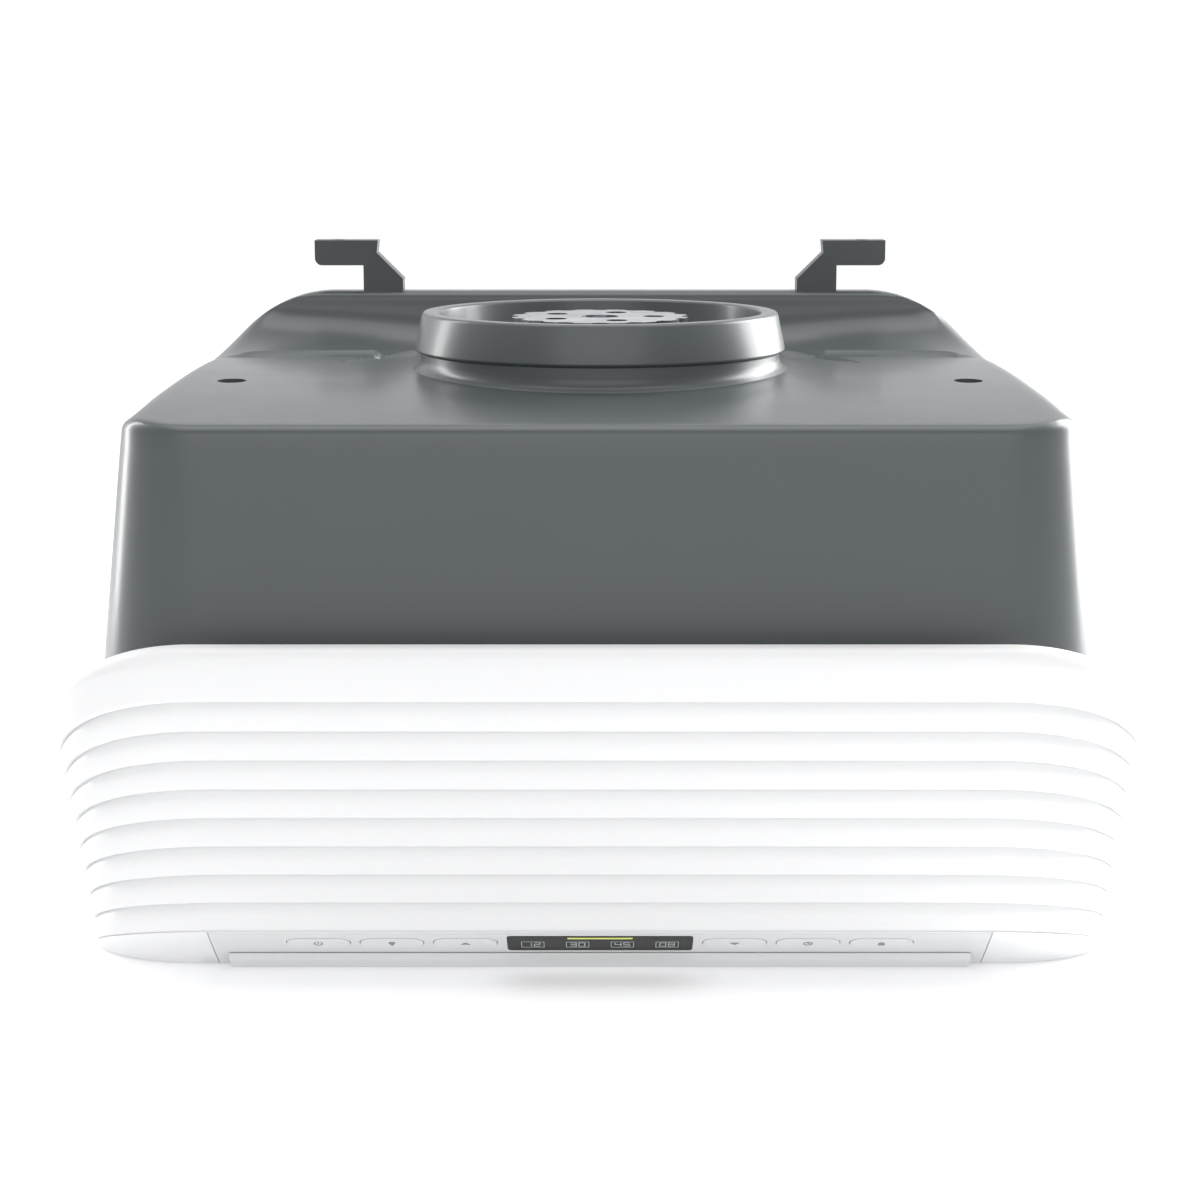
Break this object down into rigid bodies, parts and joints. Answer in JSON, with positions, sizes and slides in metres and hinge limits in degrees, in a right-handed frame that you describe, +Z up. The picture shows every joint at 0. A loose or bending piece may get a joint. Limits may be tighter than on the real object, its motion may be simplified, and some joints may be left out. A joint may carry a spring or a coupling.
{
  "type": "garage door opener",
  "caption": "Garage door opener power head with drafted grey housing, drive collar and sprocket on top, ribbed white lamp lens round the nose and a control bevel under it.",
  "frame": {"origin": "middle of the bounding box on the plane of the underside", "axes": "+Z up through the drive collar, -Y towards the control panel and lamp lens, +X to the right as seen from the front"},
  "size_m": [0.3752, 0.27, 0.2378],
  "materials": {
    "housing": "satin moulded plastic",
    "lens": "smooth white diffusing plastic",
    "panel": "smooth white plastic",
    "button": null,
    "base": "powder coated sheet",
    "display": "smoked clear plastic",
    "display_glow": "dark display glass",
    "board": "green solder resist",
    "white_board": "white solder resist",
    "black_plastic": "black moulded plastic",
    "hanger": "dark grey powder coat",
    "polished_steel": "ground and polished",
    "zinc_steel": "bright zinc plate",
    "laminated_steel": "stacked laminations",
    "bronze": "sintered bronze",
    "gear_nylon": "natural nylon",
    "cast_alloy": "die cast",
    "rubber": "soft black rubber",
    "aluminium": "bare sheet",
    "diode": "phosphor lens",
    "capacitor": "dark sleeve",
    "terminal": "green moulded plastic",
    "coil": "taped winding"
  },
  "bodies": {
    "head": {"base_pan": "base", "base_screws": "zinc_steel", "board_standoffs": "black_plastic", "button_board": "board", "button_switches": "black_plastic", "capacitors": "capacitor", "chassis_plate": "zinc_steel", "chassis_posts": "zinc_steel", "control_board": "board", "control_panel": "panel", "display_module": "display_glow", "display_window": "display", "encoder_sensor": "black_plastic", "gearbox_bolts": "zinc_steel", "gearbox_case": "cast_alloy", "gearbox_cover": "cast_alloy", "hanger_left": "hanger", "hanger_right": "hanger", "led_board": "white_board", "led_bracket": "aluminium", "led_diodes": "diode", "lens_cover": "lens", "lower_bush": "bronze", "motor_can": "zinc_steel", "motor_end_bell": "black_plastic", "motor_magnets": "black_plastic", "power_inlet": "black_plastic", "relays": "black_plastic", "rubber_mounts": "rubber", "terminal_block": "terminal", "top_housing": "housing", "transformer_coil": "coil", "transformer_core": "laminated_steel", "upper_bush": "bronze"},
    "drive": {"drive_gear": "gear_nylon", "output_shaft": "polished_steel", "drive_sprocket": "polished_steel"},
    "rotor": {"motor_shaft": "polished_steel", "pinion_gear": "polished_steel", "armature": "laminated_steel", "encoder_disc": "black_plastic"},
    "door": {"access_door": "panel", "door_pin": "polished_steel"},
    "down_button_cap": {"down_button": "button"},
    "lamp_button_cap": {"lamp_button": "button"},
    "lock_button_cap": {"lock_button": "button"},
    "power_button_cap": {"power_button": "button"},
    "timer_button_cap": {"timer_button": "button"},
    "up_button_cap": {"up_button": "button"}
  },
  "joints": [
    {"name": "drive_spin", "type": "hinge", "parent": "head", "child": "drive", "pos_m": [0, 0.012, 0.2], "axis": [0, 0, 1], "continuous": true},
    {"name": "motor_spin", "type": "hinge", "parent": "head", "child": "rotor", "pos_m": [0.063, 0.012, 0.15], "axis": [0, 0, 1], "continuous": true},
    {"name": "door_swing", "type": "hinge", "parent": "head", "child": "door", "pos_m": [0, -0.045, 0.0026], "axis": [1, 0, 0], "range_deg": [0, 85]},
    {"name": "down_press", "type": "slide", "parent": "head", "child": "down_button_cap", "axis": [0, 0.6157, 0.788], "range_m": [0, 0.001], "stiffness_N_per_m": 600, "springref_m": -0.0005},
    {"name": "lamp_press", "type": "slide", "parent": "head", "child": "lamp_button_cap", "axis": [0, 0.6157, 0.788], "range_m": [0, 0.001], "stiffness_N_per_m": 600, "springref_m": -0.0005},
    {"name": "lock_press", "type": "slide", "parent": "head", "child": "lock_button_cap", "axis": [0, 0.6157, 0.788], "range_m": [0, 0.001], "stiffness_N_per_m": 600, "springref_m": -0.0005},
    {"name": "power_press", "type": "slide", "parent": "head", "child": "power_button_cap", "axis": [0, 0.6157, 0.788], "range_m": [0, 0.001], "stiffness_N_per_m": 600, "springref_m": -0.0005},
    {"name": "timer_press", "type": "slide", "parent": "head", "child": "timer_button_cap", "axis": [0, 0.6157, 0.788], "range_m": [0, 0.001], "stiffness_N_per_m": 600, "springref_m": -0.0005},
    {"name": "up_press", "type": "slide", "parent": "head", "child": "up_button_cap", "axis": [0, 0.6157, 0.788], "range_m": [0, 0.001], "stiffness_N_per_m": 600, "springref_m": -0.0005}
  ],
  "couplings": [
    {"joint": "motor_spin", "follows": "drive_spin", "ratio": -5}
  ]
}
